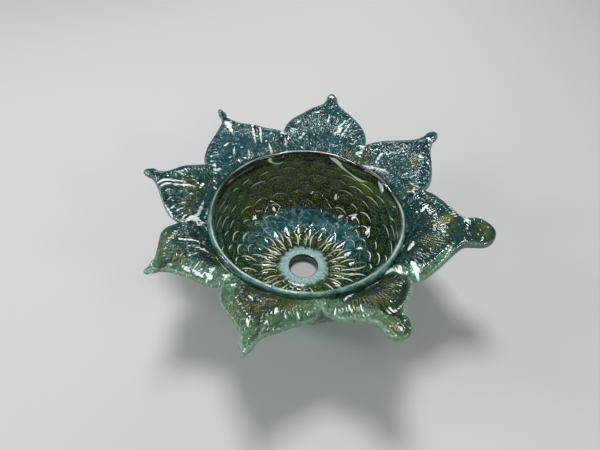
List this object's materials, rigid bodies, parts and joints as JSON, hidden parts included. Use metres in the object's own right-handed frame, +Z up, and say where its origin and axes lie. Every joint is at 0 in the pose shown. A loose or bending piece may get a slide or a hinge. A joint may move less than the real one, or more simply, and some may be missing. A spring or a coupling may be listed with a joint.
{
  "type": "tealight holder",
  "caption": "Hand-blown glass tealight cup with a diamond-quilted bowl, pulled leaves round the lip and a bored, ground base.",
  "frame": {"origin": "centre of the bore at the ground base, on the surface that the bowl stands on", "axes": "+Z up along the bore's axis, out of the mouth; +X towards the broad leaf with the paddle tip, leaf_1, which points 13 degrees to the -Y side of it"},
  "size_m": [0.1348, 0.1374, 0.0515],
  "materials": {
    "bowl_glass": "clear sea-green soda glass with gold leaf in it, fire-polished, diamond-quilted",
    "leaf_glass": "clear pale aqua soda glass with gold leaf and bubbles in it, ribbed, fire-polished"
  },
  "bodies": {
    "root": {"bowl": "bowl_glass", "leaf_1": "leaf_glass", "leaf_2": "leaf_glass", "leaf_3": "leaf_glass", "leaf_4": "leaf_glass", "leaf_5": "leaf_glass", "leaf_6": "leaf_glass", "leaf_7": "leaf_glass", "leaf_8": "leaf_glass"}
  },
  "joints": []
}
